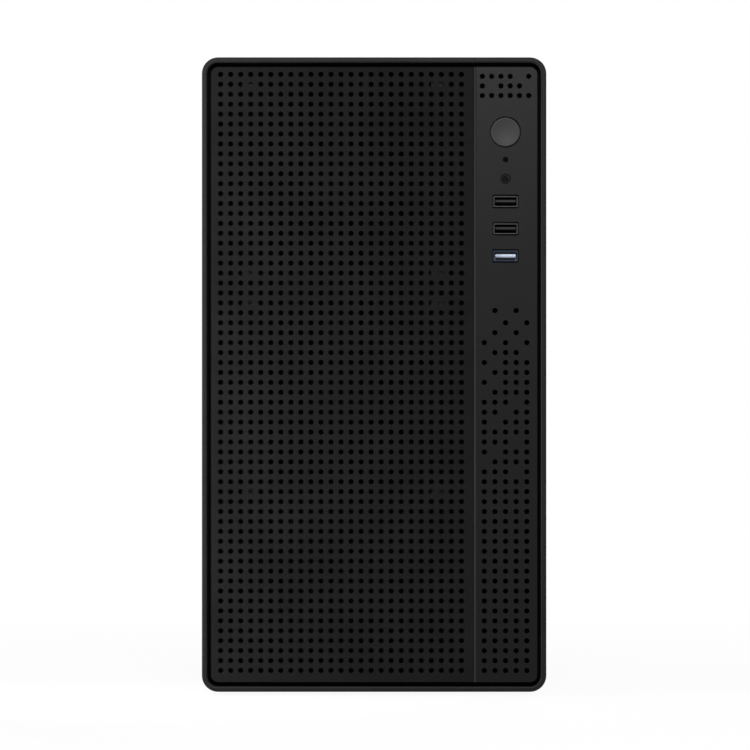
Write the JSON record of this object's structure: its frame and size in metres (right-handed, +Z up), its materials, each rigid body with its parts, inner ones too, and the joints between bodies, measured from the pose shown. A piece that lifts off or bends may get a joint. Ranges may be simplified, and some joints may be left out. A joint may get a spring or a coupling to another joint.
{
  "type": "desktop computer tower",
  "caption": "Small desktop computer tower with a perforated front, a side strip of sockets and a round button, and slide-off sides over a fitted interior.",
  "frame": {"origin": "on the floor, under the middle of the overall box", "axes": "+Z up; the front faces -Y; +X is to the right for someone who looks at the front"},
  "size_m": [0.19, 0.353, 0.352],
  "materials": {
    "bezel_plastic": "fine satin black moulding",
    "grille_metal": "black powder coat",
    "strip_plastic": "fine satin black moulding",
    "button_plastic": "satin dark grey",
    "black_plastic": "black moulding",
    "lens": "dark light pipe",
    "pale_plastic": "pale blue-white",
    "socket_metal": "dark plated steel",
    "case_metal": "black powder coat",
    "plain_steel": "zinc plated",
    "screw_metal": "black oxide",
    "bright_metal": "bare",
    "standoff_brass": "bare",
    "pin_metal": "tin plated",
    "board": "dark green solder mask",
    "board_part": "moulded",
    "fan_plastic": "black moulding",
    "rubber": "soft black",
    "cable": "black sleeve"
  },
  "bodies": {
    "chassis": {"io_board": "board", "power_switch": "black_plastic", "power_light": "lens", "headset_jack": "black_plastic", "usb_shells": "socket_metal", "usb2_tongues": "black_plastic", "usb3_tongue": "pale_plastic", "feet": "black_plastic", "foot_pads": "rubber", "rivets": "screw_metal", "floor_pan": "case_metal", "top_panel": "case_metal", "front_plate": "case_metal", "rear_panel": "case_metal", "slot_covers": "case_metal", "motherboard_tray": "case_metal", "board_standoffs": "standoff_brass", "motherboard": "board", "board_parts": "board_part", "board_connectors": "black_plastic", "memory_modules": "board", "cpu": "bright_metal", "cpu_heatsink": "bright_metal", "chipset_heatsink": "bright_metal", "rear_ports": "plain_steel", "rear_audio_jacks": "black_plastic", "io_shield": "plain_steel", "front_fan_frames": "fan_plastic", "rear_fan_frame": "fan_plastic", "cpu_fan_frame": "fan_plastic", "psu_fan_frame": "fan_plastic", "psu_case": "case_metal", "psu_fan_guard": "plain_steel", "psu_sockets": "black_plastic", "psu_inlet_pins": "pin_metal", "drive_cage": "plain_steel", "hard_drive": "bright_metal", "screws": "screw_metal", "main_power_cable": "cable", "cpu_power_cable": "cable", "drive_power_cable": "cable", "drive_data_cable": "cable", "front_panel_cable": "cable"},
    "front_panel": {"front_bezel": "bezel_plastic", "front_grille": "grille_metal", "io_strip": "strip_plastic"},
    "power_button": {"power_button": "button_plastic"},
    "switch_plunger": {"switch_plunger": "black_plastic"},
    "left_side": {"left_side_panel": "case_metal"},
    "right_side": {"right_side_panel": "case_metal"},
    "left_lower_thumbscrew": {"left_lower_thumbscrew": "screw_metal"},
    "left_upper_thumbscrew": {"left_upper_thumbscrew": "screw_metal"},
    "right_lower_thumbscrew": {"right_lower_thumbscrew": "screw_metal"},
    "right_upper_thumbscrew": {"right_upper_thumbscrew": "screw_metal"},
    "front_fan_lower_rotor": {"front_fan_lower_rotor": "fan_plastic"},
    "front_fan_upper_rotor": {"front_fan_upper_rotor": "fan_plastic"},
    "rear_fan_rotor": {"rear_fan_rotor": "fan_plastic"},
    "cpu_fan_rotor": {"cpu_fan_rotor": "fan_plastic"},
    "psu_fan_rotor": {"psu_fan_rotor": "fan_plastic"},
    "psu_rocker": {"psu_rocker": "black_plastic"}
  },
  "joints": [
    {"name": "front_panel_pull", "type": "slide", "parent": "chassis", "child": "front_panel", "axis": [0, -1, 0], "range_m": [0, 0.06]},
    {"name": "power_button_press", "type": "slide", "parent": "front_panel", "child": "power_button", "axis": [0, 1, 0], "range_m": [0, 0.0012], "stiffness_N_per_m": 800},
    {"name": "switch_plunger_press", "type": "slide", "parent": "chassis", "child": "switch_plunger", "axis": [0, 1, 0], "range_m": [0, 0.0012]},
    {"name": "left_panel_slide", "type": "slide", "parent": "chassis", "child": "left_side", "axis": [0, 1, 0], "range_m": [0, 0.33]},
    {"name": "right_panel_slide", "type": "slide", "parent": "chassis", "child": "right_side", "axis": [0, 1, 0], "range_m": [0, 0.33]},
    {"name": "left_lower_thumbscrew_turn", "type": "hinge", "parent": "left_side", "child": "left_lower_thumbscrew", "pos_m": [-0.085, 0.1695, 0.057], "axis": [0, 1, 0], "continuous": true},
    {"name": "left_upper_thumbscrew_turn", "type": "hinge", "parent": "left_side", "child": "left_upper_thumbscrew", "pos_m": [-0.085, 0.1695, 0.297], "axis": [0, 1, 0], "continuous": true},
    {"name": "right_lower_thumbscrew_turn", "type": "hinge", "parent": "right_side", "child": "right_lower_thumbscrew", "pos_m": [0.085, 0.1695, 0.057], "axis": [0, 1, 0], "continuous": true},
    {"name": "right_upper_thumbscrew_turn", "type": "hinge", "parent": "right_side", "child": "right_upper_thumbscrew", "pos_m": [0.085, 0.1695, 0.297], "axis": [0, 1, 0], "continuous": true},
    {"name": "front_fan_lower_spin", "type": "hinge", "parent": "chassis", "child": "front_fan_lower_rotor", "pos_m": [-0.0175, -0.1375, 0.164], "axis": [0, 1, 0], "continuous": true},
    {"name": "front_fan_upper_spin", "type": "hinge", "parent": "chassis", "child": "front_fan_upper_rotor", "pos_m": [-0.0175, -0.1375, 0.286], "axis": [0, 1, 0], "continuous": true},
    {"name": "rear_fan_spin", "type": "hinge", "parent": "chassis", "child": "rear_fan_rotor", "pos_m": [-0.03, 0.1555, 0.266], "axis": [0, 1, 0], "continuous": true},
    {"name": "cpu_fan_spin", "type": "hinge", "parent": "chassis", "child": "cpu_fan_rotor", "pos_m": [0.0137, 0.0755, 0.254], "axis": [1, 0, 0], "continuous": true},
    {"name": "psu_fan_spin", "type": "hinge", "parent": "chassis", "child": "psu_fan_rotor", "pos_m": [0, 0.106, 0.0306], "axis": [0, 0, 1], "continuous": true},
    {"name": "psu_rocker_tip", "type": "hinge", "parent": "chassis", "child": "psu_rocker", "pos_m": [0.014, 0.1665, 0.0606], "axis": [1, 0, 0], "range_deg": [-14, 0]}
  ],
  "couplings": [
    {"joint": "switch_plunger_press", "follows": "power_button_press", "ratio": 1}
  ]
}
